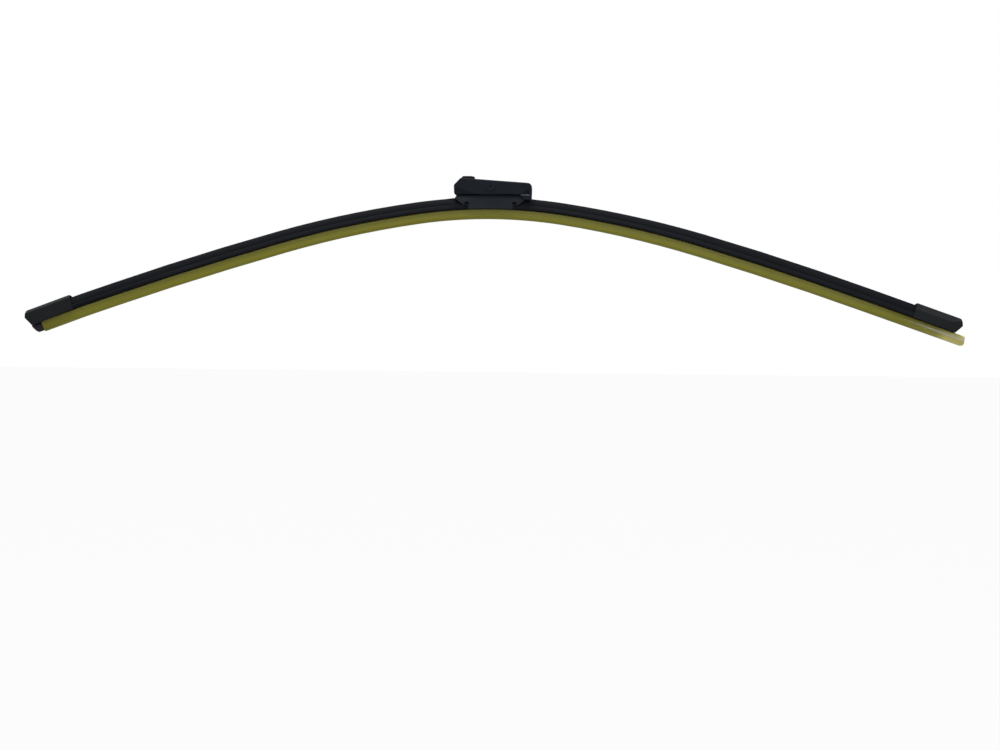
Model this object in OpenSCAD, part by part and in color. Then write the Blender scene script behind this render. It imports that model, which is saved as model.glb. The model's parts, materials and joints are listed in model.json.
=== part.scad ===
// Bowed flat wiper blade with a push-button arm adapter and a clip-on cover over its rubber lip.
// X runs along the blade, Y goes from its near side to its far side, and Z points up, away from the glass.
// The origin lies on the adapter's roof, where the arm's channel bears, straight above the pivot pin.
// Cross-sections are drawn with Y to the right and the height above the bow's base line upwards.

/* [Bow] */
// Length along the bow, over both end caps
blade_len = 654.5; // [630:0.5:720]
// Radius of the tight middle arc
mid_radius = 336; // [300:1:400]
// Length of half of the middle arc
mid_len = 49.5; // [44:0.5:60]
// Radius of the arc beside it
side_radius = 690; // [600:5:800]
// Length of the arc beside it
side_len = 94.5; // [80:0.5:105]
// Radius of the outer arc, past which the ends are straight
outer_radius = 2330; // [1800:10:2600]
// Length of the outer arc
outer_len = 120; // [100:1:124]

/* [Steel rails] */
// Width of one rail
rail_w = 4.2; // [3.8:0.1:4.4]
// Thickness of one rail
rail_t = 0.9; // [0.7:0.05:1]
// Gap between the two rails, which the rubber's web fills
rail_gap = 1.1; // [0.9:0.1:1.3]
// Height of the rails' underside above the base line
rail_lift = 1.9; // [1.8:0.05:2.1]

/* [Wiper rubber] */
// Width of the head above the rails
head_w = 4.8; // [4.2:0.1:5.2]
// Thickness of the head above the rails
head_t = 0.8; // [0.6:0.05:0.9]
// Width of the shoulders under the rails
shoulder_w = 6; // [5.2:0.1:6.2]
// Thickness of the shoulders under the rails
shoulder_t = 1; // [0.8:0.05:1.1]
// Width of the flexing neck
neck_w = 0.9; // [0.7:0.05:1.2]
// Width of the lip where it is widest
lip_w = 3.4; // [2.8:0.1:3.6]
// Width of the lip's wiping edge
lip_edge_w = 0.8; // [0.6:0.05:1.2]
// Depth of the wiping edge below the base line
lip_depth = 5.8; // [5.4:0.1:5.9]
// How far the lip stands out past the end caps' lower corners
lip_proud = 2.1; // [0.5:0.1:2.4]
// How far each end of the lip runs back for a millimetre down
lip_rake = 0.43; // [0.2:0.01:0.6]

/* [Spoilers] */
// Width over the rail housing
spoiler_w = 12; // [11.8:0.1:12.6]
// Height of the ridge above the base line
spoiler_h = 8.6; // [8.2:0.1:9.4]
// Height of the rail housing's upright side
housing_h = 3.6; // [3.3:0.1:3.9]
// How far the ridge stands off the middle, towards the near side
ridge_shift = 2.5; // [1.5:0.1:3]
// Radius of the rounded ridge
ridge_r = 0.9; // [0.6:0.05:1.1]
// Radius of the hollow wind face
wind_r = 11; // [10:0.5:14]
// Depth of the groove between housing and flank
groove_d = 0.4; // [0.2:0.05:0.6]

/* [End caps] */
// Length of an end cap
cap_len = 33.5; // [30:0.5:38]
// Width of an end cap
cap_w = 13.8; // [13.6:0.1:14.6]
// Height of an end cap above the base line
cap_h = 11; // [10.6:0.1:11.6]
// Wall of an end cap
cap_t = 0.8; // [0.6:0.05:0.8]
// Thickness of the end wall where it is thinnest
cap_end_t = 1.5; // [1:0.1:1.8]
// Height of the cap's foremost corner above the base line
cap_corner_h = 6.2; // [5:0.1:7]
// How far the raked end face runs back at the base line
cap_rake = 3.2; // [2.5:0.1:3.4]

/* [Lip cover] */
// Length of the cover
cover_len = 651; // [630:1:660]
// How far the cover has slid towards the right end
cover_slide = 7.2; // [0:0.1:10]
// Width of the cover
cover_w = 6.4; // [6:0.1:7]
// Wall of the cover
cover_t = 0.7; // [0.5:0.05:0.8]
// Height of the cover's upper edges above the base line
cover_top = 0.45; // [0.3:0.05:0.5]
// Depth of the cover below the base line
cover_depth = 6.7; // [6.7:0.1:7.4]

/* [Centre bracket] */
// Length of the claws that grip the rails
claw_len = 30; // [26:0.5:32]
// Length of the pocket between a claw and a spoiler
pocket_len = 3; // [2:0.5:4]
// Length of the bracket's top
bracket_len = 45.2; // [44:0.2:45.6]
// How far the ends reach out past the top, over the spoilers' inner ends
wing_reach = 1.2; // [0.6:0.1:1.4]
// Height above the base line at which they reach furthest
wing_h = 8.2; // [7.9:0.1:8.4]
// Width of the bracket
bracket_w = 13.2; // [13:0.1:13.4]
// Wall of the bracket's tub and of its two ears
bracket_t = 1.7; // [1.3:0.1:1.9]
// Height of the claws' upper edge above the base line
claw_h = 3.4; // [3.2:0.1:3.5]
// Width of the bevel along the tub's upper edges
bevel_w = 1.1; // [0.8:0.1:1.2]
// Height of that bevel
bevel_h = 1.8; // [1.4:0.1:2.2]
// Height of the bracket's top above the base line at the centre
bracket_h = 9.8; // [9.4:0.1:9.8]
// Radius of an ear around the pin
ear_r = 2.6; // [2.4:0.05:2.65]
// How far an ear stands back from the tub's side
ear_inset = 0.9; // [0.6:0.1:1.2]

/* [Pivot] */
// Height of the pin above the base line
pivot_h = 15.4; // [15.2:0.1:15.6]
// Height of the arm's seat above the pin
seat_h = 4.2; // [4.2:0.1:4.6]
// Radius of the pin
pin_r = 1.6; // [1.3:0.05:1.7]
// Running clearance of the pin in the adapter
pin_play = 0.05; // [0.03:0.01:0.08]
// Radius of the dimple in each end of the pin
dimple_r = 0.95; // [0.6:0.05:1]

/* [Adapter] */
// Reach of the nose in front of the pin
nose_reach = 24.8; // [24.4:0.1:26]
// Reach of the tail behind the pin
tail_reach = 27.9; // [27.8:0.1:30]
// Width of the adapter
adapter_w = 16.8; // [16.6:0.1:19]
// Wall of the adapter's sides
wall_t = 1.5; // [1.2:0.1:1.6]
// Thickness of the roof
roof_t = 1.3; // [1.1:0.05:1.3]
// Fall of the roof towards the tail, in degrees
roof_slope = 3.8; // [2.5:0.1:4.5]
// Height above the pin at which the nose's ramp starts
nose_high = 0.8; // [0.4:0.1:1]
// Slope of the nose's ramp, in degrees
nose_slope = 46; // [44:0.5:49]
// Height of the sides' lower edge below the pin
side_drop = 5.2; // [5:0.1:5.3]
// Height of the two feet under the tail below the pin
foot_drop = 8.8; // [7.5:0.1:9]
// Radius of the raised ring round each end of the pin
ring_r = 3.4; // [2.8:0.1:3.8]
// Height of the raised ring
ring_t = 0.3; // [0.2:0.05:0.5]

/* [Release button] */
// Width of the button
button_w = 9.4; // [8:0.1:10]
// Distance from the pin to the button's upright shoulder
button_back = 11.1; // [10.8:0.1:12]
// Height of the button's top above the pin
button_top = 7; // [6.6:0.1:7.2]
// Travel of the button
button_travel = 1.7; // [1.2:0.1:1.8]
// Thickness of the leaf spring under the button
leaf_t = 0.3; // [0.2:0.05:0.35]

/* [Hidden] */
$fn = 48;

// Clearances that the pieces share
rail_play = 0.05;
room = 0.2;
seat_gap = 0.1;
side_gap = 0.3;
slide_gap = 0.25;
past = 30;

// The bow: stations are distances along it from the centre, and angles are in degrees
side_end = mid_len + side_len;
outer_end = side_end + outer_len;
half_len = blade_len / 2;
mid_turn = mid_len / mid_radius * 180 / PI;
side_turn = side_len / side_radius * 180 / PI;
outer_turn = outer_len / outer_radius * 180 / PI;
end_turn = mid_turn + side_turn + outer_turn;
arcs = [[-outer_end, -side_end, outer_turn], [-side_end, -mid_len, side_turn], [-mid_len, mid_len, 2 * mid_turn],
    [mid_len, side_end, side_turn], [side_end, outer_end, outer_turn]];
ring_turn = 1.2;

function within(v, low, high) = max(low, min(v, high));
function turn_to(u) = within(u / mid_len, 0, 1) * mid_turn
    + within((u - mid_len) / side_len, 0, 1) * side_turn
    + within((u - side_end) / outer_len, 0, 1) * outer_turn;
function arc_step(r, from, to) = r * [sin(to) - sin(from), cos(to) - cos(from)];
function point_to(u) = arc_step(mid_radius, 0, turn_to(min(u, mid_len)))
    + arc_step(side_radius, turn_to(min(u, mid_len)), turn_to(min(u, side_end)))
    + arc_step(outer_radius, turn_to(min(u, side_end)), turn_to(u))
    + max(u - outer_end, 0) * [cos(end_turn), -sin(end_turn)];
function turn_at(s) = sign(s) * turn_to(abs(s));
function point_at(s) = [sign(s) * point_to(abs(s))[0], point_to(abs(s))[1]];
function bow_at(s, h) = point_at(s) + h * [sin(turn_at(s)), cos(turn_at(s))];

// Heights in the part's frame
pivot_z = -seat_h;
base_z = pivot_z - pivot_h;

// Section heights and half widths above the base line
rail_top = rail_lift + rail_t;
rail_out = rail_gap / 2 + rail_w;
shoulder_low = rail_lift - rail_play - shoulder_t;
head_top = rail_top + head_t;
housing_low = cover_top + seat_gap + rail_play;
cap_inside = half_len - cap_rake - cap_end_t;
rail_end = cap_inside - side_gap;
lip_top = cover_top - cover_t - seat_gap;
lip_side = 0.5;
neck_mid = (shoulder_low + lip_top) / 2;
lip_bend = -0.7 * lip_depth;

// Ridge and wind face of the spoiler: the hollow face runs off the round ridge without a break
ridge = [-ridge_shift, spoiler_h - ridge_r];
wind_foot = [spoiler_w / 2, housing_h];
wind_span = ridge_r + wind_r;
foot_span = norm(wind_foot - ridge);
wind_aim = atan2(wind_foot[1] - ridge[1], wind_foot[0] - ridge[0])
    + acos((foot_span * foot_span + wind_span * wind_span - wind_r * wind_r) / (2 * foot_span * wind_span));
wind_centre = ridge + wind_span * [cos(wind_aim), sin(wind_aim)];
wind_end = atan2(wind_foot[1] - wind_centre[1], wind_foot[0] - wind_centre[0]) + 360;
wind_step = (wind_end - wind_aim - 180) / 7;
lee_foot = [-spoiler_w / 2 + 0.25, housing_h + groove_d];
lee_aim = atan2(ridge[1] - lee_foot[1], ridge[0] - lee_foot[0]) + asin(ridge_r / norm(ridge - lee_foot));

// Roof and ramp of the adapter, from the pin
function roof_at(x) = seat_h - x * tan(roof_slope);
ramp_rise = tan(nose_slope);
function ramp_at(x) = nose_high + (x + nose_reach) * ramp_rise;
ramp_top = (seat_h - ramp_at(0)) / (ramp_rise + tan(roof_slope));
inner_w = adapter_w - 2 * wall_t;
passage_top = -1.2;
ledge_t = 1;
tail_block = bracket_len / 2 + 2.5;
tail_ceiling = -3.1;
// Recess in each side of the tail
recess_end = tail_reach - 1.7;
recess_len = 5.9;
recess_t = wall_t - 0.4;
sill_drop = 0.55;
button_front = -nose_reach + 2.8;
button_low = 2.2;
button_flange_t = 1.1;
ledge_top = passage_top + ledge_t;

// Corner rounding for outlines: each corner is [x, y, radius]
function unit(v) = v / norm(v);
function cross_z(a, b) = a[0] * b[1] - a[1] * b[0];
function flat(p) = [p[0], p[1]];
function corner_arc(a, p, b, r, steps = 5) =
    let (u = unit(flat(a) - flat(p)), v = unit(flat(b) - flat(p)), half = acos(within(u * v, -1, 1)) / 2,
        centre = flat(p) + unit(u + v) * r / sin(half), from = flat(p) + u * r / tan(half) - centre,
        sweep = (2 * half - 180) * sign(cross_z(u, v)))
    [for (i = [0 : steps])
        let (turn = sweep * i / steps)
        centre + [from[0] * cos(turn) - from[1] * sin(turn), from[0] * sin(turn) + from[1] * cos(turn)]];
function rounded(corners) = [for (i = [0 : len(corners) - 1])
    let (n = len(corners), p = corners[i], a = corners[(i + n - 1) % n], b = corners[(i + 1) % n])
    each (p[2] > 0 ? corner_arc(a, p, b, p[2]) : [flat(p)])];
function backwards(points) = [for (i = [len(points) - 1 : -1 : 0]) points[i]];
function flipped(points) = [for (p = points) len(p) > 2 ? [-p[0], p[1], p[2]] : [-p[0], p[1]]];
function with_mirror(points) = concat(points, backwards(flipped(points)));
function anticlockwise(half) = backwards(with_mirror(half));

function arc_points(centre, r, from, to, steps) =
    [for (i = [0 : steps]) let (turn = from + (to - from) * i / steps) centre + r * [cos(turn), sin(turn)]];

// Cuts an outline, given anticlockwise, into triangles by clipping its ears
function beyond(p, a, b) = cross(b - a, p - a) < -1e-6;
function is_ear(points, ring, i) =
    let (n = len(ring), a = points[ring[(i + n - 1) % n]], b = points[ring[i]], c = points[ring[(i + 1) % n]])
    cross(b - a, c - b) > 1e-6
    && len([for (k = [2 : n - 2]) let (p = points[ring[(i + k) % n]])
        if (!beyond(p, a, b) && !beyond(p, b, c) && !beyond(p, c, a)) 1]) == 0;
function ears(points, ring) = [for (i = [0 : len(ring) - 1])
    let (n = len(ring), span = points[ring[(i + 1) % n]] - points[ring[(i + n - 1) % n]])
    if (is_ear(points, ring, i)) [norm(span), i]];
function shortest_ear(found) = [for (ear = found) if (ear[0] == min([for (e = found) e[0]])) ear[1]][0];
function triangles(points, ring) = len(ring) == 3 ? [ring] :
    let (n = len(ring), i = shortest_ear(ears(points, ring)))
    concat([[ring[(i + n - 1) % n], ring[i], ring[(i + 1) % n]]],
        triangles(points, [for (k = [0 : n - 1]) if (k != i) ring[k]]));

// Stations of the rings between two ends, which are drawn in by up to first and last: the bow turns by
// about the same angle from each to the next
function stations(from, to, first, last) = concat([from],
    [for (arc = arcs) let (steps = ceil(arc[2] / ring_turn)) for (i = [0 : steps])
        let (s = arc[0] + (arc[1] - arc[0]) * i / steps)
        if (s > from + first + 1 && s < to - last - 1 && (i < steps || arc[1] == outer_end)) s],
    [to]);

// Sweeps an anticlockwise outline of [across, height] points along the bow. Each end may be drawn in:
// first_in and last_in are tables of [height, how far in from the end].
module sweep(outline, from, to, first_in = [[0, 0]], last_in = [[0, 0]]) {
    rings = stations(from, to, max([for (row = first_in) row[1]]), max([for (row = last_in) row[1]]));
    n = len(outline);
    last = len(rings) - 1;
    caps = triangles(outline, [for (i = [0 : n - 1]) i]);
    points = [for (k = [0 : last]) for (p = outline)
        let (s = rings[k] + (k == 0 ? lookup(p[1], first_in) : k == last ? -lookup(p[1], last_in) : 0),
            at = bow_at(s, p[1]))
        [at[0], p[0], at[1]]];
    sides = [for (k = [0 : last - 1]) for (i = [0 : n - 1])
        let (a = k * n + i, b = k * n + (i + 1) % n)
        each [[a, b + n, b], [a, a + n, b + n]]];
    translate([0, 0, base_z])
        polyhedron(points, concat(caps, sides,
            [for (t = caps) [t[2], t[1], t[0]] + last * n * [1, 1, 1]]));
}

// Revolves a section about the centre of the middle arc, over an equal length on each side
module along_middle(half) {
    turn = half / mid_radius * 180 / PI;
    translate([0, 0, base_z - mid_radius])
        rotate([-90, 0, 0])
        rotate([0, 0, -turn - 90])
        rotate_extrude(angle = 2 * turn, $fn = 720)
        translate([mid_radius, 0])
        mirror([1, -1, 0])
        children();
}

// Places what is drawn at the right-hand end: X along the straight end, Z up from the base line
module at_end() {
    p = point_at(half_len);
    translate([p[0], 0, base_z + p[1]])
        rotate([0, end_turn, 0])
        children();
}

// Extrudes a side view, drawn with X and Z, across the blade
module across(width) {
    rotate([90, 0, 0])
        linear_extrude(width, center = true)
        children();
}

// Extrudes a section, drawn with Y and Z, from x = 0 back to x = -length
module along_x(length) {
    rotate([0, -90, 0])
        linear_extrude(length)
        mirror([1, -1, 0])
        children();
}

module on_both_sides() {
    for (side = [-1, 1]) mirror([0, (side + 1) / 2, 0]) children();
}

module rail(low, high) {
    color("dimgray")
        sweep([[low, rail_lift], [high, rail_lift], [high, rail_top], [low, rail_top]], -rail_end, rail_end);
}

module near_rail() { rail(-rail_out, -rail_gap / 2); }

module far_rail() { rail(rail_gap / 2, rail_out); }

rubber_half = [[head_w / 2, head_top], [head_w / 2, rail_top + rail_play], [rail_gap / 2, rail_top + rail_play],
    [rail_gap / 2, rail_lift - rail_play], [shoulder_w / 2, rail_lift - rail_play],
    [shoulder_w / 2, shoulder_low], [neck_w / 2, shoulder_low], [neck_w / 2 - 0.1, neck_mid],
    [neck_w / 2, lip_top], [lip_w / 2, lip_top - lip_side], [lip_w / 2, lip_top - 2 * lip_side],
    [lip_edge_w / 2 + 0.25, lip_bend], [lip_edge_w / 2, -lip_depth]];

// The rubber's top stops inside the caps, and its lip stands out under their raked end faces
module wiper_rubber() {
    lip_in = cap_rake - lip_proud;
    ends = [[-lip_depth, lip_in + 1.3 * lip_rake * lip_depth], [lip_bend, lip_in + lip_rake * (lip_top - lip_bend)],
        [lip_top, lip_in], [neck_mid, cap_rake + cap_end_t + slide_gap]];
    color("darkslategray") sweep(anticlockwise(rubber_half), -half_len, half_len, ends, ends);
}

// Upper outline of a spoiler, from the top of the near housing over the ridge to the top of the far one
spoiler_top = concat([[-spoiler_w / 2, housing_h], [-spoiler_w / 2 + groove_d, housing_h + groove_d / 2], lee_foot],
    arc_points(ridge, ridge_r, lee_aim + 90, wind_aim, 7),
    arc_points(wind_centre, wind_r, wind_aim + 180 + wind_step, wind_end, 6));

// Half of the channel that the rails and the top of the rubber take in the spoilers
channel_half = [[shoulder_w / 2 + room, housing_low], [shoulder_w / 2 + room, rail_lift - rail_play],
    [rail_out + seat_gap, rail_lift - rail_play], [rail_out + seat_gap, rail_top + rail_play],
    [head_w / 2 + room, rail_top + rail_play], [head_w / 2 + room, head_top + seat_gap]];
housing_edge = [[spoiler_w / 2, housing_low + 0.5], [spoiler_w / 2 - 0.5, housing_low]];
spoiler_outline = backwards(concat(backwards(flipped(housing_edge)), spoiler_top, housing_edge,
    channel_half, backwards(flipped(channel_half))));

// The inner end slopes like the underside of the bracket's wing
module right_spoiler() {
    wing_slope = (wing_end - pocket_end) / (wing_h - claw_h);
    color("#25282b") sweep(spoiler_outline, pocket_end + seat_gap, rail_end,
        [[claw_h, 0], [spoiler_h, (spoiler_h - claw_h) * wing_slope]]);
}

module left_spoiler() { mirror([1, 0, 0]) right_spoiler(); }

// Section of an end cap, or of the hollow in it when inset by its wall
function cap_corners(inset) = [[-cap_w / 2 + inset, housing_low - 2 * inset, 0.3],
    [-cap_w / 2 + inset, 0.8 * cap_h - 0.4 * inset, 0.6], [-0.3 * cap_w + 0.6 * inset, 0.96 * cap_h - 0.9 * inset, 0.6],
    [-0.06 * cap_w, cap_h - inset, 1.5], [cap_w / 2 - inset, 0.5 * cap_h - 0.6 * inset, 0.8],
    [cap_w / 2 - inset, housing_low - 2 * inset, 0.3]];

module right_end_cap() {
    color("#26292c")
        at_end()
        difference() {
            intersection() {
                across(cap_w + 1)
                    polygon(rounded([[-cap_len, housing_low, 0], [-cap_rake, housing_low, 0.6],
                        [0, cap_corner_h, 1], [-2, cap_h, 1.2], [-cap_len, cap_h, 1.6]]));
                translate([1, 0, 0]) along_x(cap_len + 2) polygon(rounded(cap_corners(0)));
            }
            translate([-cap_rake - cap_end_t, 0, 0]) along_x(cap_len) polygon(rounded(cap_corners(cap_t)));
        }
}

module left_end_cap() { mirror([1, 0, 0]) right_end_cap(); }

// Channel round the lip, with two edges turned in over the top of the lip: outer wall out, inner wall back
function cover_wall(inset) = concat([[-neck_w / 2 - room, cover_top - inset]],
    arc_points([-cover_w / 2 + 0.9, cover_top - 0.9], 0.9 - inset, 90, 180, 3),
    arc_points([-cover_w / 2 + 2.1, -cover_depth + 2.1], 2.1 - inset, 180, 270, 5),
    arc_points([cover_w / 2 - 2.1, -cover_depth + 2.1], 2.1 - inset, 270, 360, 5),
    arc_points([cover_w / 2 - 0.9, cover_top - 0.9], 0.9 - inset, 0, 90, 3),
    [[neck_w / 2 + room, cover_top - inset]]);

// Rounds the two corners of the cover's right end
module cover_end_cut() {
    end = cover_len / 2 + cover_slide - half_len;
    at_end()
        across(cover_w + 1)
        difference() {
            translate([end - 5, -cover_depth - 1]) square([6, cover_depth + 2 + cover_top]);
            polygon(rounded([[end - 10, cover_top + 0.01, 0], [end, cover_top + 0.01, 1.5],
                [end, -cover_depth, 2.6], [end - 10, -cover_depth - 0.01, 0]]));
        }
}

module protective_cover() {
    color("#a8a03c")
        difference() {
            sweep(concat(cover_wall(0), backwards(cover_wall(cover_t))), cover_slide - cover_len / 2,
                cover_slide + cover_len / 2);
            cover_end_cut();
        }
}

// Stations of the bracket's pockets and of its furthest reach
pocket_end = claw_len / 2 + pocket_len;
wing_end = bracket_len / 2 + wing_reach;

// Tub that rises from the claws to the ears and reaches out over the spoilers, with bevelled upper edges
module bracket_tub() {
    half = [bow_at(claw_len / 2, claw_h), bow_at(pocket_end, claw_h), bow_at(wing_end, wing_h),
        [bracket_len / 2, bracket_h]];
    translate([0, 0, base_z])
        difference() {
            across(bracket_w) polygon(with_mirror(half));
            on_both_sides()
                translate([-past, bracket_w / 2, bracket_h - bevel_h])
                rotate([atan(bevel_w / bevel_h), 0, 0])
                cube([2 * past, past, past]);
        }
}

module bracket_ear() {
    translate([0, (bracket_w - bracket_t) / 2 - ear_inset, base_z])
        across(bracket_t)
        union() {
            polygon([[-claw_len / 4, bracket_h - bevel_h - 0.5], [claw_len / 4, bracket_h - bevel_h - 0.5],
                [ear_r - 0.05, pivot_h], [-ear_r + 0.05, pivot_h]]);
            translate([0, pivot_h]) circle(ear_r);
        }
}

// The channel of the spoilers goes on through the claws
module rail_channel() {
    polygon(with_mirror(concat([[shoulder_w / 2 + room, housing_low - 1]], channel_half)));
}

module centre_bracket() {
    color("#2e3136")
        difference() {
            union() {
                along_middle(claw_len / 2)
                    translate([-bracket_w / 2, housing_low])
                    square([bracket_w, claw_h + 0.5]);
                bracket_tub();
                on_both_sides() bracket_ear();
            }
            along_middle(mid_len) rail_channel();
            translate([0, 0, base_z])
                across(bracket_w - 2 * bracket_t)
                polygon(with_mirror([[claw_len / 2 - 1, claw_h + bracket_t], [bracket_len / 2 - bracket_t, wing_h],
                    [bracket_len / 2 - bracket_t, past]]));
            translate([0, 0, pivot_z]) across(bracket_w + 1) circle(pin_r + pin_play / 2);
        }
}

module pivot_pin() {
    color("gray")
        translate([0, 0, pivot_z])
        difference() {
            across(adapter_w + 2 * ring_t) circle(pin_r);
            on_both_sides() translate([0, -adapter_w / 2 - ring_t, 0]) sphere(dimple_r);
        }
}

// Bevel that tucks the sides in under the nose
module nose_tuck() {
    translate([-nose_reach, -adapter_w / 2, 0])
        rotate([0, 18, 0])
        rotate([-12, 0, 0])
        translate([-10, -9.5, -20])
        cube([50, 10, 20]);
}

module adapter_body() {
    color("#2b2e33")
        translate([0, 0, pivot_z])
        difference() {
            union() {
                across(adapter_w)
                    polygon(rounded([[-nose_reach, nose_high, 2.2], [ramp_top, roof_at(ramp_top), 0.3],
                        [tail_reach, roof_at(tail_reach), 3.2], [tail_reach - 0.3, -foot_drop, 1.8],
                        [tail_reach - 3.6, -foot_drop, 0.8], [tail_reach - 6, 0.8 - foot_drop, 0.8],
                        [recess_end - recess_len, -side_drop - sill_drop, 0.4],
                        [recess_end - recess_len - 0.4, -side_drop, 0.2],
                        [-nose_reach + 3.6, -side_drop, 0.4], [-nose_reach + 2.9, -side_drop - 0.8, 0.4],
                        [-nose_reach + 0.2, -side_drop - 0.8, 1.8]]));
                across(adapter_w + 2 * ring_t) circle(ring_r);
            }
            difference() {
                union() {
                    // passage for the bracket, open below and at both ends, with a lower ceiling at the tail
                    across(inner_w)
                        polygon([[-past, -past], [-past, passage_top], [tail_block, passage_top],
                            [tail_block, tail_ceiling], [tail_reach, tail_ceiling + 0.45],
                            [past, tail_ceiling + 0.45], [past, -past]]);
                    // room round the ears and the button
                    across(inner_w)
                        polygon([[1 - button_back, passage_top - 1], [tail_block, passage_top - 1],
                            [tail_block, roof_at(tail_block) - roof_t],
                            [button_front - slide_gap, roof_at(button_front - slide_gap) - roof_t],
                            [button_front - slide_gap, ledge_top], [1 - button_back, ledge_top]]);
                }
                // bosses that take the pin, one against each ear
                on_both_sides()
                    translate([0, (ear_inset - inner_w) / 2, 0])
                    across(ear_inset)
                    circle(ring_r);
            }
            // window for the button, open to the ramp
            across(button_w + 2 * slide_gap)
                polygon([[button_front - slide_gap, ledge_top], [slide_gap - button_back, ledge_top],
                    [slide_gap - button_back, past], [button_front - slide_gap, past]]);
            across(adapter_w + 2) circle(pin_r + pin_play);
            // recess with a sloping sill in each side of the tail
            on_both_sides() {
                translate([0, (recess_t - 1 - adapter_w) / 2, 0])
                    across(recess_t + 1)
                    polygon([[recess_end - recess_len, -side_drop], [recess_end, -side_drop],
                        [recess_end, passage_top + 0.1]]);
                translate([recess_end, -adapter_w / 2, -side_drop])
                    along_x(recess_len)
                    polygon([[-0.1, -sill_drop], [recess_t, 0], [-0.1, 0.01]]);
            }
            on_both_sides() {
                nose_tuck();
                translate([0, -adapter_w / 2, seat_h])
                    rotate([0, roof_slope, 0])
                    rotate([45, 0, 0])
                    cube([2 * past, 0.8, 0.8], center = true);
            }
        }
}

module release_button() {
    color("#34373c")
        translate([0, 0, pivot_z]) {
            across(button_w)
                polygon([[-button_back, button_low], [-button_back, button_top],
                    [(button_top - ramp_at(0)) / ramp_rise, button_top], [button_front, ramp_at(button_front)],
                    [button_front, button_low]]);
            across(button_w + 1.6)
                polygon([[-button_back, button_low], [-button_back, button_low + button_flange_t],
                    [button_front, button_low + button_flange_t], [button_front, button_low]]);
        }
}

// Bowed leaf between the ledge and the button
module button_spring() {
    half = (-button_back - button_front) / 2 - 0.4;
    rise = button_low - ledge_top - leaf_t;
    r = (half * half + rise * rise) / (2 * rise);
    open = asin(half / r);
    color("silver")
        translate([(button_front - button_back) / 2, 0, pivot_z + ledge_top + rise - r])
        rotate([-90, 0, 0])
        rotate([0, 0, -open - 90])
        translate([0, 0, -button_w / 4])
        rotate_extrude(angle = 2 * open, $fn = 240)
        translate([r, 0])
        square([leaf_t, button_w / 2]);
}

adapter_body();
release_button();
button_spring();
pivot_pin();
centre_bracket();
near_rail();
far_rail();
wiper_rubber();
left_spoiler();
right_spoiler();
left_end_cap();
right_end_cap();
protective_cover();
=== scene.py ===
# Wiper blade: looks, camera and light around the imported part.
import json
import math

import bpy
from mathutils import Matrix, Vector

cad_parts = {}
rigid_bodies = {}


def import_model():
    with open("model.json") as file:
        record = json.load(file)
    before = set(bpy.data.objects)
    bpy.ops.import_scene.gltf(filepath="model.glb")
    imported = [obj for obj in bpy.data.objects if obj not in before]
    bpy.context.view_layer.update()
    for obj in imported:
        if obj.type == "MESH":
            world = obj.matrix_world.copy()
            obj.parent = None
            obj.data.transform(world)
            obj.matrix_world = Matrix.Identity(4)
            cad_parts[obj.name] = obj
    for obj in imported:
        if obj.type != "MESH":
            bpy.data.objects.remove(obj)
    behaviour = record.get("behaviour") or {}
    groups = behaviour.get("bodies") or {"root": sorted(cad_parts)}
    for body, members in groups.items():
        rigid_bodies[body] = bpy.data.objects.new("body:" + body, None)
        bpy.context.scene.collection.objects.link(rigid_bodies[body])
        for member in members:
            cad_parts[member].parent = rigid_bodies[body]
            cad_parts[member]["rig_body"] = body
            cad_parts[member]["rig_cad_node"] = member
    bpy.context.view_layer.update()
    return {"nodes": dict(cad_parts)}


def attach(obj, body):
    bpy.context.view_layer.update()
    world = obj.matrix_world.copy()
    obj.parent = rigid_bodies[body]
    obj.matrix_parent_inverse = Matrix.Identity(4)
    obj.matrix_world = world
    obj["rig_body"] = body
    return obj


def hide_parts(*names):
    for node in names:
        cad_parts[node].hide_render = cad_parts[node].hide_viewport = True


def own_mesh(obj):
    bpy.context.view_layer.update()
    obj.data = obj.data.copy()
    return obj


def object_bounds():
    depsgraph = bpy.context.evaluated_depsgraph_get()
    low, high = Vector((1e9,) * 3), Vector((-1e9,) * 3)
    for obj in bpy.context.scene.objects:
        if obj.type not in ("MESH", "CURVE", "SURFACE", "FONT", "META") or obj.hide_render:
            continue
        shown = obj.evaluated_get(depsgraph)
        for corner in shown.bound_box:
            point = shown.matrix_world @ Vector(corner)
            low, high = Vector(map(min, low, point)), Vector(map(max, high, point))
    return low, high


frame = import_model()
nodes = frame["nodes"]
print("loaded", len(nodes), "nodes")

mm = 0.001


def hexColour(code):
    # sRGB hex to linear, with alpha
    parts = [int(code[k:k + 2], 16) / 255 for k in (1, 3, 5)]
    linear = [v / 12.92 if v <= 0.04045 else ((v + 0.055) / 1.055) ** 2.4 for v in parts]
    return (*linear, 1.0)


def addNode(tree, kind, settings=None, inputs=None, stops=()):
    # One shader node with its settings, its inputs as values or as sockets to link, and a ramp's stops
    node = tree.nodes.new(kind)
    for name, value in (settings or {}).items():
        setattr(node, name, value)
    for name, value in (inputs or {}).items():
        if isinstance(value, bpy.types.NodeSocket):
            tree.links.new(value, node.inputs[name])
        else:
            node.inputs[name].default_value = value
    for k, (place, code) in enumerate(stops):
        element = node.color_ramp.elements[k] if k < 2 else node.color_ramp.elements.new(place)
        element.position = place
        element.color = hexColour(code)
    return node


def newMaterial(name):
    material = bpy.data.materials.new(name)
    material.use_nodes = True
    material.node_tree.nodes.clear()
    return material, material.node_tree


# Moulded surfaces: sizes in mm
mouldedLook = {
    "grainSize": 0.5,        # spark-eroded grain, drawn three times as coarse as it is so that it shows
    "grainHeight": 0.02,
    "cloudSize": 14.0,       # faint flow marks
    "glossSpread": 0.06,
}


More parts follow.
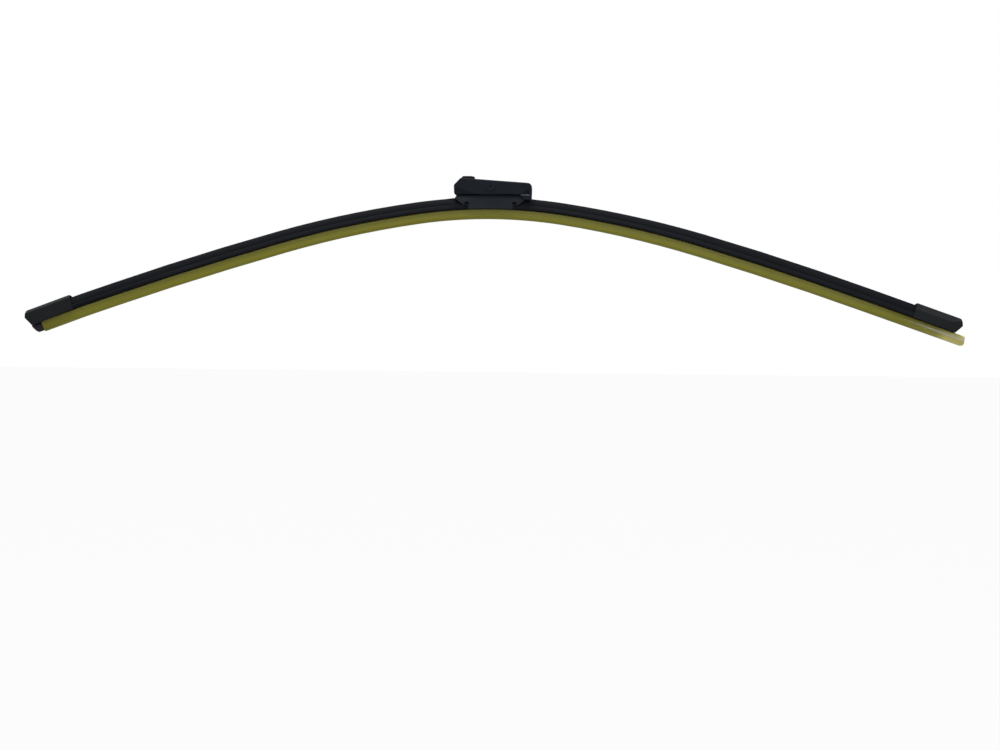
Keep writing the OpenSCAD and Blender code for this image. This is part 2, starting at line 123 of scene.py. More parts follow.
def mouldedPlastic(name, dark, light, roughness, specular):
    # Black PBT from a spark-eroded mould: a fine even grain breaks the gloss, faintly blue in the light
    material, tree = newMaterial(name)
    place = addNode(tree, "ShaderNodeTexCoord").outputs["Object"]
    cloud = addNode(tree, "ShaderNodeTexNoise", {}, {
        "Vector": place, "Scale": 1 / (mouldedLook["cloudSize"] * mm), "Detail": 3.0, "Roughness": 0.55})
    grain = addNode(tree, "ShaderNodeTexNoise", {}, {
        "Vector": place, "Scale": 1 / (mouldedLook["grainSize"] * mm), "Detail": 2.0, "Roughness": 0.6})
    colour = addNode(tree, "ShaderNodeValToRGB", {}, {"Fac": cloud.outputs["Fac"]},
                     [(0.3, dark), (0.7, light)])
    bump = addNode(tree, "ShaderNodeBump", {}, {
        "Height": grain.outputs["Fac"], "Distance": mouldedLook["grainHeight"] * mm, "Strength": 0.6})
    spread = mouldedLook["glossSpread"]
    gloss = addNode(tree, "ShaderNodeMapRange", {}, {
        "Value": grain.outputs["Fac"], "To Min": roughness - spread, "To Max": roughness + spread})
    shader = addNode(tree, "ShaderNodeBsdfPrincipled", {}, {
        "Base Color": colour.outputs["Color"], "Roughness": gloss.outputs["Result"], "IOR": 1.5,
        "Specular IOR Level": specular, "Normal": bump.outputs["Normal"]})
    addNode(tree, "ShaderNodeOutputMaterial", {}, {"Surface": shader.outputs["BSDF"]})
    return material


# Extruded rubber: scales in cells per mm along, across and up the blade, sizes in mm
extrudedLook = {
    "lineScale": (0.01, 2.2, 2.2),       # die lines, about half a millimetre apart
    "patchScale": (0.02, 0.12, 0.12),    # bloom, in patches 8 mm across and 50 mm long
    "lineShare": 0.4,
    "bloomShare": 0.6,
    "lineHeight": 0.02,
    "glossSpread": 0.08,
}


def extrudedRubber(name, dark, light, roughness, specular):
    # Extruded EPDM: die lines run along the blade, with a dull bloom that lightens it in patches
    material, tree = newMaterial(name)
    place = addNode(tree, "ShaderNodeAttribute", {"attribute_name": "alongBow"}).outputs["Vector"]
    lines = addNode(tree, "ShaderNodeMapping", {}, {"Vector": place, "Scale": extrudedLook["lineScale"]})
    streak = addNode(tree, "ShaderNodeTexNoise", {}, {
        "Vector": lines.outputs["Vector"], "Scale": 1.0, "Detail": 3.0, "Roughness": 0.6})
    patches = addNode(tree, "ShaderNodeMapping", {}, {"Vector": place, "Scale": extrudedLook["patchScale"]})
    bloom = addNode(tree, "ShaderNodeTexNoise", {}, {
        "Vector": patches.outputs["Vector"], "Scale": 1.0, "Detail": 4.0, "Roughness": 0.6})
    bloomShare = addNode(tree, "ShaderNodeMapRange", {}, {
        "Value": bloom.outputs["Fac"], "To Min": 0.0, "To Max": extrudedLook["bloomShare"]})
    mixed = addNode(tree, "ShaderNodeMath", {"operation": "MULTIPLY_ADD"}, {
        0: streak.outputs["Fac"], 1: extrudedLook["lineShare"], 2: bloomShare.outputs["Result"]})
    colour = addNode(tree, "ShaderNodeValToRGB", {}, {"Fac": mixed.outputs["Value"]},
                     [(0.3, dark), (0.75, light)])
    bump = addNode(tree, "ShaderNodeBump", {}, {
        "Height": streak.outputs["Fac"], "Distance": extrudedLook["lineHeight"] * mm, "Strength": 0.5})
    spread = extrudedLook["glossSpread"]
    gloss = addNode(tree, "ShaderNodeMapRange", {}, {
        "Value": bloom.outputs["Fac"], "To Min": roughness - spread, "To Max": roughness + spread})
    shader = addNode(tree, "ShaderNodeBsdfPrincipled", {}, {
        "Base Color": colour.outputs["Color"], "Roughness": gloss.outputs["Result"], "IOR": 1.5,
        "Specular IOR Level": specular, "Normal": bump.outputs["Normal"]})
    addNode(tree, "ShaderNodeOutputMaterial", {}, {"Surface": shader.outputs["BSDF"]})
    return material


# The cover's wall: scale in cells per mm, height in mm
pvcLook = {
    "lineScale": (0.006, 1.4, 1.4),
    "lineHeight": 0.02,
}

# Its painted light at the right end, past the rubber, and on its lips: stations and heights in mm
clearEnd = {
    "clearFrom": 311.0,      # past the rubber the wall is painted pale from here on, as painted light for the light that comes through it with no dark rubber behind
    "clearFull": 324.0,
    "streakFrom": 286.0,     # a painted highlight: a pale line that grows towards the end
    "streakFull": 318.0,
    "streakHeight": -2.3,
    "streakHalf": 1.3,
    "clearColour": "#fff394",
    "streakColour": "#fffbe6",
    "glow": 0.3,             # share of the pale colour painted along the stretch with the pale line, as painted light in the shade under the cap
    "lipsFrom": -1.2,        # the channel's upper lips are painted paler, as painted light in the housing's shade
    "lipLightShare": 0.35,
    "body": 0.2,             # transmission along the blade, and at the pale end
    "end": 0.1,
}


def yellowPvc(name, dark, light):
    # Extruded soft PVC, translucent yellow, with painted light: pale at the right end, where no dark rubber
    # lies inside it
    material, tree = newMaterial(name)
    place = addNode(tree, "ShaderNodeAttribute", {"attribute_name": "alongBow"}).outputs["Vector"]
    lines = addNode(tree, "ShaderNodeMapping", {}, {"Vector": place, "Scale": pvcLook["lineScale"]})
    streak = addNode(tree, "ShaderNodeTexNoise", {}, {
        "Vector": lines.outputs["Vector"], "Scale": 1.0, "Detail": 3.0, "Roughness": 0.5})
    colour = addNode(tree, "ShaderNodeValToRGB", {}, {"Fac": streak.outputs["Fac"]},
                     [(0.3, dark), (0.7, light)])
    parts = addNode(tree, "ShaderNodeSeparateXYZ", {}, {"Vector": place})
    # Painted light: the wall is paled past the rubber's end
    clear = addNode(tree, "ShaderNodeMapRange", {"interpolation_type": "SMOOTHSTEP"}, {
        "Value": parts.outputs["X"], "From Min": clearEnd["clearFrom"], "From Max": clearEnd["clearFull"]})
    nearer = addNode(tree, "ShaderNodeMapRange", {"interpolation_type": "SMOOTHSTEP"}, {
        "Value": parts.outputs["X"],
        "From Min": clearEnd["streakFrom"], "From Max": clearEnd["streakFull"]})
    aside = addNode(tree, "ShaderNodeMath", {"operation": "SUBTRACT"}, {
        0: parts.outputs["Z"], 1: clearEnd["streakHeight"]})
    awayFrom = addNode(tree, "ShaderNodeMath", {"operation": "ABSOLUTE"}, {0: aside.outputs["Value"]})
    line = addNode(tree, "ShaderNodeMapRange", {"interpolation_type": "SMOOTHSTEP"}, {
        "Value": awayFrom.outputs["Value"], "From Min": clearEnd["streakHalf"], "From Max": 0.0})
    # Painted highlight: a pale line along the cover, growing towards the right end
    paintedStreakLine = addNode(tree, "ShaderNodeMath", {"operation": "MULTIPLY"}, {
        0: nearer.outputs["Result"], 1: line.outputs["Result"]})
    # Painted light on the upper lips, where the housing shades them
    paintedLipLight = addNode(tree, "ShaderNodeMapRange", {"interpolation_type": "SMOOTHSTEP"}, {
        "Value": parts.outputs["Z"], "From Min": clearEnd["lipsFrom"], "From Max": 0.0,
        "To Max": clearEnd["lipLightShare"]})
    # Painted light: the cover is paled along the last stretch under the cap, and fully past the rubber
    toEnd = addNode(tree, "ShaderNodeMath", {"operation": "MULTIPLY_ADD"}, {
        0: nearer.outputs["Result"], 1: clearEnd["glow"], 2: clear.outputs["Result"]})
    paler = addNode(tree, "ShaderNodeMath", {"operation": "ADD", "use_clamp": True}, {
        0: toEnd.outputs["Value"], 1: paintedLipLight.outputs["Result"]})
    # Painted light: the pale colour mixed in at the end, along the last stretch and on the lips
    cleared = addNode(tree, "ShaderNodeMixRGB", {}, {
        "Fac": paler.outputs["Value"], "Color1": colour.outputs["Color"],
        "Color2": hexColour(clearEnd["clearColour"])})
    # The painted highlight's pale colour is mixed in here
    streakPaintedIn = addNode(tree, "ShaderNodeMixRGB", {}, {
        "Fac": paintedStreakLine.outputs["Value"], "Color1": cleared.outputs["Color"],
        "Color2": hexColour(clearEnd["streakColour"])})
    passing = addNode(tree, "ShaderNodeMapRange", {}, {
        "Value": clear.outputs["Result"], "To Min": clearEnd["body"], "To Max": clearEnd["end"]})
    bump = addNode(tree, "ShaderNodeBump", {}, {
        "Height": streak.outputs["Fac"], "Distance": pvcLook["lineHeight"] * mm, "Strength": 0.4})
    shader = addNode(tree, "ShaderNodeBsdfPrincipled", {}, {
        "Base Color": streakPaintedIn.outputs["Color"], "Roughness": 0.4, "IOR": 1.53,
        "Transmission Weight": passing.outputs["Result"], "Specular IOR Level": 0.3,
        "Normal": bump.outputs["Normal"]})
    addNode(tree, "ShaderNodeOutputMaterial", {}, {"Surface": shader.outputs["BSDF"]})
    return material


# Rolled steel: scale in cells per metre
rolledLook = {
    "lineScale": (60, 4000, 4000),       # rolling lines, a quarter of a millimetre apart
    "brighter": 0.08,
    "duller": 0.1,
}


def rolledSteel(name, colour, roughness):
    # Cold-rolled spring steel: bright, with fine rolling lines along the strip
    material, tree = newMaterial(name)
    place = addNode(tree, "ShaderNodeTexCoord").outputs["Object"]
    lines = addNode(tree, "ShaderNodeMapping", {}, {"Vector": place, "Scale": rolledLook["lineScale"]})
    grain = addNode(tree, "ShaderNodeTexNoise", {}, {
        "Vector": lines.outputs["Vector"], "Scale": 1.0, "Detail": 3.0, "Roughness": 0.6})
    gloss = addNode(tree, "ShaderNodeMapRange", {}, {
        "Value": grain.outputs["Fac"],
        "To Min": roughness - rolledLook["brighter"], "To Max": roughness + rolledLook["duller"]})
    shader = addNode(tree, "ShaderNodeBsdfPrincipled", {}, {
        "Base Color": hexColour(colour), "Metallic": 1.0, "Roughness": gloss.outputs["Result"]})
    addNode(tree, "ShaderNodeOutputMaterial", {}, {"Surface": shader.outputs["BSDF"]})
    return material


adapterPlastic = mouldedPlastic("mouldedPbtAdapter", "#171b22", "#1f242c", 0.6, 0.1)
buttonPlastic = mouldedPlastic("mouldedPbtButton", "#15191f", "#1d2128", 0.6, 0.1)
# A pale copy of the moulding, painted on the recess sills as a highlight
sillPaintedHighlight = mouldedPlastic("pbtEdgePaintedHighlight", "#54585e", "#60646a", 0.5, 0.2)
bracketPlastic = mouldedPlastic("mouldedPbtBracket", "#22272e", "#2a3037", 0.6, 0.12)
capPlastic = mouldedPlastic("mouldedPpCap", "#1a1d20", "#222528", 0.6, 0.12)
spoilerRubber = extrudedRubber("extrudedEpdmSpoiler", "#0f1115", "#191b20", 0.7, 0.1)
wipingRubber = extrudedRubber("graphiteCoatedRubber", "#37333a", "#454048", 0.75, 0.1)
coverPlastic = yellowPvc("translucentYellowPvc", "#99962a", "#a7a434")
# Coated steels: a thin matt black coat, with the same fine grain as the mouldings
railPaint = mouldedPlastic("blackCoatedSpringSteel", "#0b0c0e", "#101113", 0.5, 0.1)
pinSteel = mouldedPlastic("blackPhosphatedSteel", "#0e0f11", "#151619", 0.45, 0.2)
springSteel = rolledSteel("rolledSpringLeaf", "#9a9a9c", 0.3)
print("materials made")

# The bow, as in the part: radius and length of each arc from the centre outwards, then straight
bow = {
    "arcs": [(336.0, 49.5), (690.0, 94.5), (2330.0, 120.0)],
    "baseHeight": -19.6,
}


def walkBow():
    # Each arc's centre, radius, length, first direction and distance done, then the start of the straight
    turn = 0.0
    done = 0.0
    start = Vector((0, bow["baseHeight"]))
    arcs = []
    for radius, length in bow["arcs"]:
        centre = start - radius * Vector((math.sin(turn), math.cos(turn)))
        arcs.append((centre, radius, length, turn, done))
        turn += length / radius
        start = centre + radius * Vector((math.sin(turn), math.cos(turn)))
        done += length
    return arcs, (start, turn, done)


bowArcs, bowStraight = walkBow()


def alongBow(point):
    # Distance along the bow, depth and height above its base line of a point in mm, and the way up there
    x, depth, z = (v / mm for v in point)
    side = -1 if x < 0 else 1
    place = Vector((abs(x), z))
    for centre, radius, length, firstTurn, doneBefore in bowArcs:
        offset = place - centre
        angle = math.atan2(offset.x, offset.y) - firstTurn
        if angle <= length / radius:
            up = offset.normalized()
            found = Vector((side * (doneBefore + angle * radius), depth, offset.length - radius))
            return found, Vector((side * up.x, 0, up.y))
    start, turn, done = bowStraight
    offset = place - start
    ahead = Vector((math.cos(turn), -math.sin(turn)))
    up = Vector((math.sin(turn), math.cos(turn)))
    found = Vector((side * (done + offset.dot(ahead)), depth, offset.dot(up)))
    return found, Vector((side * up.x, 0, up.y))


def easeBetween(value, low, high):
    share = min(max((value - low) / (high - low), 0), 1)
    return share * share * (3 - 2 * share)


# The free left end hangs a little below the straight line
leftEnd = {
    "from": -288.0,
    "to": -326.0,
    "drop": 0.88,
}


def leftDrop(place):
    return leftEnd["drop"] * max((place.x - leftEnd["from"]) / (leftEnd["to"] - leftEnd["from"]), 0)


def cutAcross(station):
    # A ring of points across all that is selected, at a station on the straight ends of the bow
    start, turn, done = bowStraight
    side = math.copysign(1, station)
    place = start + (abs(station) - done) * Vector((math.cos(turn), -math.sin(turn)))
    bpy.ops.mesh.bisect(plane_co=(side * place.x * mm, 0, place.y * mm),
                        plane_no=(side * math.cos(turn), 0, -math.sin(turn)))


# How every copy is merged, bevelled and shaded: mm and degrees
copyLook = {
    "mergeAt": 0.002,
    "flatAngle": 0.5,        # faces that turn by less than this become one
    "bevelAngle": 35,
    "bevelSteps": 2,
    "smoothAngle": 30,
}


def finishedCopy(pieceName, look, material):
    # A merged copy of a node, carved, bevelled and shifted as its look says, which then stands for it
    bpy.ops.object.select_all(action="DESELECT")
    nodes[look["node"]].select_set(True)
    bpy.context.view_layer.objects.active = nodes[look["node"]]
    bpy.ops.object.duplicate()
    piece = bpy.context.object
    piece.name = pieceName
    piece.parent = None
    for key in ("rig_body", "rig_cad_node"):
        del piece[key]
    bpy.ops.object.mode_set(mode="EDIT")
    bpy.ops.mesh.select_all(action="SELECT")
    bpy.ops.mesh.remove_doubles(threshold=look.get("mergeAt", copyLook["mergeAt"]) * mm)
    if "bevel" in look:
        bpy.ops.mesh.dissolve_limited(angle_limit=math.radians(copyLook["flatAngle"]))
    if "shift" in look:
        for station in (leftEnd["from"], *look.get("rings", ())):
            bpy.ops.mesh.select_all(action="SELECT")
            cutAcross(station)
    bpy.ops.object.mode_set(mode="OBJECT")
    if "carve" in look:
        look["carve"](piece)
    if "bevel" in look:
        edge = piece.modifiers.new("softEdges", "BEVEL")
        edge.width = look["bevel"] * mm
        edge.segments = copyLook["bevelSteps"]
        edge.limit_method = "ANGLE"
        edge.angle_limit = math.radians(copyLook["bevelAngle"])
        edge.use_clamp_overlap = True
        bpy.ops.object.modifier_apply(modifier=edge.name)
    places = [alongBow(vertex.co) for vertex in piece.data.vertices]
    if "shift" in look:
        for vertex, (place, up) in zip(piece.data.vertices, places):
            along, upward = look["shift"](place)
            vertex.co += (along * Vector((up.z, 0, -up.x)) + (upward - leftDrop(place)) * up) * mm
    bpy.ops.object.shade_smooth_by_angle(angle=math.radians(copyLook["smoothAngle"]))
    if "bevel" in look:
        flats = piece.modifiers.new("flatFaces", "WEIGHTED_NORMAL")
        flats.keep_sharp = True
        bpy.ops.object.modifier_apply(modifier=flats.name)
    piece.data.materials.clear()
    piece.data.materials.append(material)
    stored = piece.data.attributes.new("alongBow", "FLOAT_VECTOR", "POINT")
    for item, (place, _) in zip(stored.data, places):
        item.vector = place
    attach(piece, look["body"])
    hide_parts(look["node"])
    return piece


# Spoilers: the ridge is pulled down where the bow is tight and stands a little higher towards the tips
spoilerLook = {
    "body": "blade",
    "slot": "spoiler_rubber",
    "housingTop": 4.0,
    "ridgeTop": 8.6,
    "innerEnd": (18.1, 3.4, 1.21),      # station of the inner end, height where it starts to slope, slope
    "endFade": (0.2, 5.0),              # the ridge is pulled down over this distance from it
    "endSkin": 0.5,                     # points nearer to it than this belong to the end face
    "topSkin": 0.1,                     # points up to this far over the housing still belong to it
    "clawEnd": 15.05,                   # the housing goes on to the claws, under the wings
    "underWing": 3.35,
    "tightEnd": 50.0,
    "slackStart": 200.0,
    "pulledDown": -0.3,
    "standsUp": {"left": 0.1, "right": 0.55},
}


def ridgeShift(side):
    def shift(place):
        start, low, slope = spoilerLook["innerEnd"]
        housingTop = spoilerLook["housingTop"]
        fromEnd = abs(place.x) - start - max(place.z - low, 0) * slope
        if fromEnd < spoilerLook["endSkin"] and place.z < housingTop + spoilerLook["topSkin"]:
            inward = math.copysign(spoilerLook["clawEnd"], place.x) - place.x
            return inward, min(spoilerLook["underWing"] - place.z, 0)
        share = (place.z - housingTop) / (spoilerLook["ridgeTop"] - housingTop)
        away = easeBetween(abs(place.x), spoilerLook["tightEnd"], spoilerLook["slackStart"])
        down = spoilerLook["pulledDown"] * easeBetween(fromEnd, *spoilerLook["endFade"])
        return 0, max(share, 0) * (down + (spoilerLook["standsUp"][side] - down) * away)
    return shift


for side in ("left", "right"):
    sideLook = {**spoilerLook, "node": f"{side}_spoiler", "shift": ridgeShift(side)}
    finishedCopy(f"{side}SpoilerExtrusion", sideLook, spoilerRubber)

# Lip and cover hang a little less deep where the bow is tight
lipHang = {
    "depth": 6.7,
    "rise": 0.45,
    "tightEnd": 30.0,
    "slackStart": 170.0,
}


def lipRise(place):
    tight = 1 - easeBetween(abs(place.x), lipHang["tightEnd"], lipHang["slackStart"])
    return lipHang["rise"] * tight * max(-place.z, 0) / lipHang["depth"]


rubberLook = {
    "node": "wiper_rubber",
    "body": "blade",
    "slot": "wiping_rubber",
    "neckHeight": (0.0, 0.5),
    "neckEnd": 320.0,
    "neckOut": 4.0,                     # the neck's ends go on out to the raked end of the lip
}


def rubberShift(place):
    low, high = rubberLook["neckHeight"]
    atEnd = abs(place.x) > rubberLook["neckEnd"] and low < place.z < high
    return math.copysign(rubberLook["neckOut"], place.x) if atEnd else 0, lipRise(place)


finishedCopy("wiperRubberStrip", {**rubberLook, "shift": rubberShift}, wipingRubber)

coverLook = {
    "node": "protective_cover",
    "body": "blade",
    "slot": "cover_plastic",
    "rightEnd": 325.0,
    "endLean": 0.18,                    # the right end is cut nearly upright
    "middle": -3.3,
    "levelShare": 0.37,                 # its lower corner goes out level, to stay within the part's height
}


def coverShift(place):
    lean = coverLook["endLean"] * (coverLook["middle"] - place.z) if place.x > coverLook["rightEnd"] else 0
    return lean, lipRise(place) + coverLook["levelShare"] * max(lean, 0)


finishedCopy("lipCover", {**coverLook, "shift": coverShift}, coverPlastic)

adapterLook = {
    "node": "adapter_body",
    "body": "adapter",
    "slot": "adapter_plastic",
    "mergeAt": 0.03,
    "bevel": 0.2,
    "halfWidth": 8.4,
    "onFace": 0.05,                     # points nearer to a face or a corner than these belong to it
    "onCorner": 0.1,
    "tuckFrom": (-24.77, -4.21),        # crease below which the sides tuck in under the nose, x and z
    "tuckTo": (-8.8, -9.4),
    "tuckSkin": 0.8,                    # only points up to this far in from the sides
    "tuckSlope": 0.25,
    "recessDepth": 1.1,                 # in the part; here its floor leans in towards its lower corner
    "recessCorner": (26.2, -9.4),
    "recessReach": 6.0,
    "cornerDepth": 1.25,
    "lean": (0.11, 0.268),
    "sillEdge": (-0.6, -0.4),           # heights from the corner between which the sill's edge lies
    "sillDrop": 0.35,
    "paintedHighlight": (-0.9, 0.0),              # heights from the corner between which up-facing faces get a painted highlight
    "facingUp": 0.5,                    # if their normals point up by more than this
}


def adapterPoint(point):
    # Place in mm of a point of the adapter once its nose and recesses are carved
    x, y, z = point
    depth = adapterLook["halfWidth"] - abs(y)
    crease = Vector(adapterLook["tuckTo"]) - Vector(adapterLook["tuckFrom"])
    offset = Vector((x, z)) - Vector(adapterLook["tuckFrom"])
    below = (crease.y * offset.x - crease.x * offset.y) / crease.length
    cornerX, cornerZ = adapterLook["recessCorner"]
    inRecess = -adapterLook["onCorner"] < cornerX - x < adapterLook["recessReach"]
    onFloor = abs(depth - adapterLook["recessDepth"]) < adapterLook["onFace"]
    sillLow, sillHigh = adapterLook["sillEdge"]
    onSillEdge = abs(x - cornerX) < adapterLook["onCorner"] and sillLow < z - cornerZ < sillHigh
    if below > 0 and depth < adapterLook["tuckSkin"]:
        depth = adapterLook["tuckSlope"] * below
    elif inRecess and onFloor:
        leanX, leanZ = adapterLook["lean"]
        depth = adapterLook["cornerDepth"] - leanX * (cornerX - x) - leanZ * (z - cornerZ)
    elif onSillEdge and depth < adapterLook["onFace"]:
        z -= adapterLook["sillDrop"]
    return Vector((x, math.copysign(adapterLook["halfWidth"] - depth, y), z))


def carveAdapter(piece):
    for vertex in piece.data.vertices:
        vertex.co = adapterPoint(vertex.co / mm) * mm


adapterShell = finishedCopy("adapterShell", {**adapterLook, "carve": carveAdapter}, adapterPlastic)

# The sills of the recesses get a painted highlight: a pale copy of the moulding on their up-facing faces
adapterShell.data.materials.append(sillPaintedHighlight)
cornerX, cornerZ = adapterLook["recessCorner"]
highlightLow, highlightHigh = adapterLook["paintedHighlight"]
for face in adapterShell.data.polygons:
    centre = face.center / mm
    inReach = -adapterLook["recessReach"] < centre.x - cornerX < 0
    onSill = highlightLow < centre.z - cornerZ < highlightHigh
    if inReach and onSill and face.normal.z > adapterLook["facingUp"]:
        face.material_index = 1

buttonLook = {
    "node": "release_button",
    "body": "button",
    "slot": "button_plastic",
    "mergeAt": 0.03,
    "bevel": 0.2,
    "slopeFrom": -13.2,                 # the hump's top falls away towards its step from here
    "topEdge": (-11.5, 2.6),
    "drop": 0.4,
}


def slopeButton(piece):
    bpy.ops.object.mode_set(mode="EDIT")
    bpy.ops.mesh.select_all(action="SELECT")
    bpy.ops.mesh.bisect(plane_co=(buttonLook["slopeFrom"] * mm, 0, 0), plane_no=(1, 0, 0))
    bpy.ops.object.mode_set(mode="OBJECT")
    edgeX, edgeZ = buttonLook["topEdge"]
    for vertex in piece.data.vertices:
        if vertex.co.x > edgeX * mm and vertex.co.z > edgeZ * mm:
            vertex.co.z -= buttonLook["drop"] * mm


finishedCopy("buttonCap", {**buttonLook, "carve": slopeButton}, buttonPlastic)

bracketLook = {
    "node": "centre_bracket",
    "body": "blade",
    "slot": "bracket_plastic",
    "mergeAt": 0.03,
    "bevel": 0.15,
    "holeX": (14.6, 17.6),              # blind holes in the sides, where the wings begin
    "holeZ": (-16.35, -14.6),
    "holeDepth": 2.5,
    "sideFrom": 6.5,                    # the sides lie further out than this and face straight out
    "facingOut": 0.99,
}


def selectFaces(piece, wanted):
    # Selects the faces for which wanted(centre in mm, normal) holds
    bpy.ops.mesh.select_mode(type="FACE")
    bpy.ops.mesh.select_all(action="DESELECT")
    bpy.ops.object.mode_set(mode="OBJECT")
    for face in piece.data.polygons:
        face.select = wanted(face.center / mm, face.normal)
    bpy.ops.object.mode_set(mode="EDIT")


def drillBracket(piece):
    lowX, highX = bracketLook["holeX"]
    lowZ, highZ = bracketLook["holeZ"]
    bpy.ops.object.mode_set(mode="EDIT")
    for side in (-1, 1):
        def sideFace(centre, normal):
            return normal.y * side > bracketLook["facingOut"] and centre.y * side > bracketLook["sideFrom"]

        def holeFace(centre, normal):
            inHole = lowX < abs(centre.x) < highX and lowZ < centre.z < highZ
            return inHole and sideFace(centre, normal)

        for x in (-highX, -lowX, lowX, highX):
            selectFaces(piece, sideFace)
            bpy.ops.mesh.bisect(plane_co=(x * mm, 0, 0), plane_no=(1, 0, 0))
        for z in (lowZ, highZ):
            selectFaces(piece, sideFace)
            bpy.ops.mesh.bisect(plane_co=(0, 0, z * mm), plane_no=(0, 0, 1))
        selectFaces(piece, holeFace)
        bpy.ops.mesh.extrude_region_move(TRANSFORM_OT_translate={
            "value": (0, -side * bracketLook["holeDepth"] * mm, 0)})
    bpy.ops.object.mode_set(mode="OBJECT")


finishedCopy("bracketShell", {**bracketLook, "carve": drillBracket}, bracketPlastic)

capLook = {
    "body": "blade",
    "slot": "cap_plastic",
    "mergeAt": 0.03,
    "bevel": 0.2,
    "chinFrom": -320.0,                 # the left cap's raked end reaches down to the rubber in one slope
    "chinHeights": (0.6, 3.8),
    "chinDrop": 0.95,
    "frontSide": -5.7,                  # the right cap's front face ends lower, under a wide sloping band
    "frontHeights": (4.0, 8.5),
    "bandDrop": 1.9,
    "bandEnd": (320.0, 323.5),          # the band closes before the nose
}


def leftCapShift(place):
    low, high = capLook["chinHeights"]
    drop = capLook["chinDrop"] if place.x < capLook["chinFrom"] else 0
    return 0, -drop * (1 - easeBetween(place.z, low, high))


def rightCapShift(place):
    low, high = capLook["frontHeights"]
    share = max((place.z - low) / (high - low), 0) if place.y < capLook["frontSide"] else 0
    return 0, -capLook["bandDrop"] * share * (1 - easeBetween(place.x, *capLook["bandEnd"]))


finishedCopy("leftEndCapShell", {**capLook, "node": "left_end_cap", "shift": leftCapShift}, capPlastic)
rightCapLook = {**capLook, "node": "right_end_cap", "shift": rightCapShift, "rings": capLook["bandEnd"]}
finishedCopy("rightEndCapShell", rightCapLook, capPlastic)


def railShift(place):
    # The rails only follow the left end down
    return 0, 0


for side in ("near", "far"):
    railLook = {"node": f"{side}_rail", "body": "blade", "slot": "rail_steel", "shift": railShift}
    finishedCopy(f"{side}RailStrip", railLook, railPaint)

# The leaf under the button, with a mesh of its own
leafLook = {
    "node": "button_spring",
    "body": "adapter",
    "slot": "spring_steel",
    "travel": 1.75,                     # that of the button, and a hair more
}
leaf = finishedCopy("springLeaf", leafLook, springSteel)
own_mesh(leaf)

# The pin stays as the part's own node
nodes["pivot_pin"].data.materials.clear()
nodes["pivot_pin"].data.materials.append(pinSteel)
print("pieces finished")

# Stage: a pale floor well below the hanging blade, seen as white
stageSize = {
    "floorDrop": 0.32,       # m below the blade's lowest point
    "floorHalf": 6.0,
    "whiteShare": 0.96,
}


def paintedBoard():
    # Painted board: white to the camera, with a trace of the object's shadow left in it
    material, tree = newMaterial("paintedBoard")
    rays = addNode(tree, "ShaderNodeLightPath")
    board = addNode(tree, "ShaderNodeBsdfDiffuse", {}, {"Color": hexColour("#bcbcbc")})
    glow = addNode(tree, "ShaderNodeEmission", {}, {"Color": (1, 1, 1, 1), "Strength": 1.0})
    seen = addNode(tree, "ShaderNodeMath", {"operation": "MULTIPLY"}, {
        0: rays.outputs["Is Camera Ray"], 1: stageSize["whiteShare"]})
    shown = addNode(tree, "ShaderNodeMixShader", {}, {
        "Fac": seen.outputs["Value"], 1: board.outputs["BSDF"], 2: glow.outputs["Emission"]})
    clear = addNode(tree, "ShaderNodeBsdfTransparent")
    below = addNode(tree, "ShaderNodeNewGeometry")
    side = addNode(tree, "ShaderNodeMixShader", {}, {
        "Fac": below.outputs["Backfacing"], 1: shown.outputs["Shader"], 2: clear.outputs["BSDF"]})
    addNode(tree, "ShaderNodeOutputMaterial", {}, {"Surface": side.outputs["Shader"]})
    return material


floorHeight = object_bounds()[0].z - stageSize["floorDrop"]
bpy.ops.object.select_all(action="DESELECT")
bpy.ops.mesh.primitive_plane_add(size=2 * stageSize["floorHalf"], location=(0, 0, floorHeight))
floor = bpy.context.object
floor.name = "floorBoard"
floor.data.materials.append(paintedBoard())

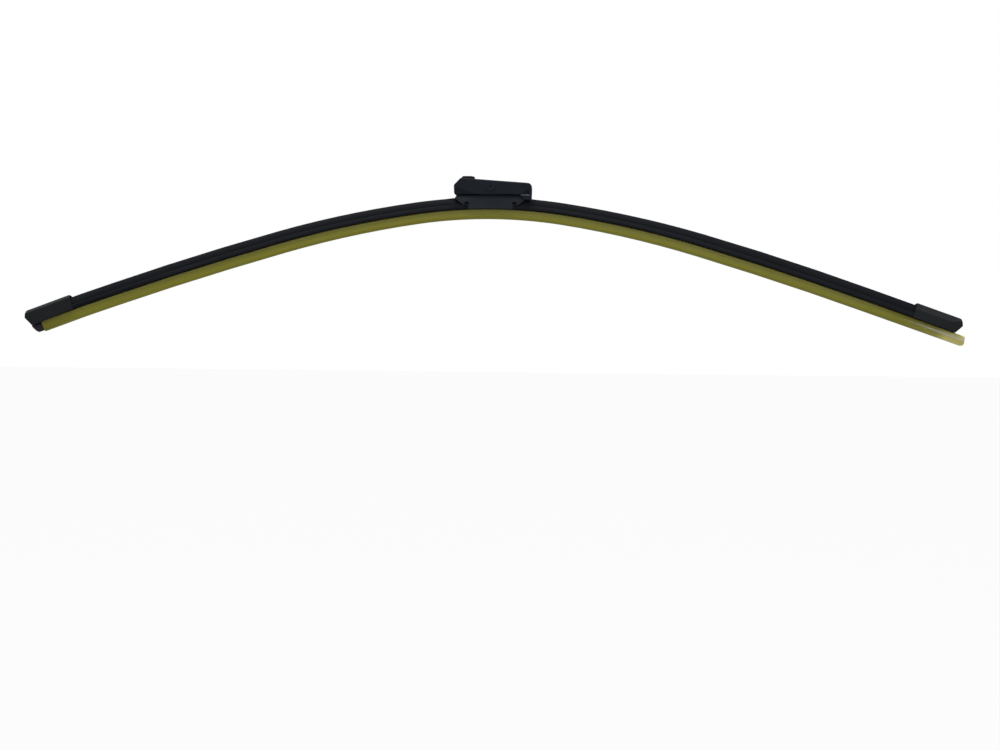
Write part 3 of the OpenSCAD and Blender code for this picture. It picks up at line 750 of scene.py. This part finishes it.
# The room lights the blade softly, and is white where it is seen, mirrored or looked at through the cover
roomLook = {
    "light": 0.35,
    "seen": 1.0,
}
world = bpy.data.worlds.new("paleRoom")
bpy.context.scene.world = world
world.use_nodes = True
world.node_tree.nodes.clear()
tree = world.node_tree
rays = addNode(tree, "ShaderNodeLightPath")
direct = addNode(tree, "ShaderNodeMath", {"operation": "MAXIMUM"}, {
    0: rays.outputs["Is Camera Ray"], 1: rays.outputs["Is Glossy Ray"]})
seen = addNode(tree, "ShaderNodeMath", {"operation": "MAXIMUM"}, {
    0: direct.outputs["Value"], 1: rays.outputs["Is Transmission Ray"]})
room = addNode(tree, "ShaderNodeBackground", {}, {"Color": (1, 1, 1, 1), "Strength": roomLook["light"]})
white = addNode(tree, "ShaderNodeBackground", {}, {"Color": (1, 1, 1, 1), "Strength": roomLook["seen"]})
mix = addNode(tree, "ShaderNodeMixShader", {}, {
    "Fac": seen.outputs["Value"], 1: room.outputs["Background"], 2: white.outputs["Background"]})
addNode(tree, "ShaderNodeOutputWorld", {}, {"Surface": mix.outputs["Shader"]})

lampSet = {
    "overhead": {"place": (-0.1, -0.35, 1.2), "size": 1.2, "power": 17.0},
    "front": {"place": (0.3, -1.5, 0.35), "size": 1.0, "power": 2.0},
}
for name, lamp in lampSet.items():
    bpy.ops.object.light_add(type="AREA", location=lamp["place"])
    light = bpy.context.object
    light.name = name
    light.data.size = lamp["size"]
    light.data.energy = lamp["power"]
    light.rotation_euler = (-Vector(lamp["place"])).to_track_quat("-Z", "Y").to_euler()

# Camera, at the photograph's place: angles in degrees, place and lens in mm
eye = {
    "place": (39.8, -1088.3, -75.5),
    "yaw": -1.71,
    "pitch": -2.95,
    "roll": -0.56,
    "lens": 57.6,
    "sensor": 36,
}
yaw, pitch, roll = (math.radians(eye[k]) for k in ("yaw", "pitch", "roll"))
ahead = Vector((math.sin(yaw), math.cos(yaw), 0))
right = Vector((math.cos(yaw), -math.sin(yaw), 0))
up = Vector((0, 0, 1))
lookAhead = math.cos(pitch) * ahead + math.sin(pitch) * up
lookUp = -math.sin(pitch) * ahead + math.cos(pitch) * up
camRight = math.cos(roll) * right - math.sin(roll) * lookUp
camUp = math.sin(roll) * right + math.cos(roll) * lookUp
bpy.ops.object.camera_add()
camera = bpy.context.object
camera.name = "photoCamera"
camera.data.lens = eye["lens"]
camera.data.sensor_width = eye["sensor"]
turned = Matrix((camRight, camUp, -lookAhead)).transposed().to_4x4()
camera.matrix_world = Matrix.Translation(Vector(eye["place"]) * mm) @ turned
bpy.context.scene.camera = camera
bpy.context.scene.view_settings.view_transform = "Standard"
print("stage, light and camera set")
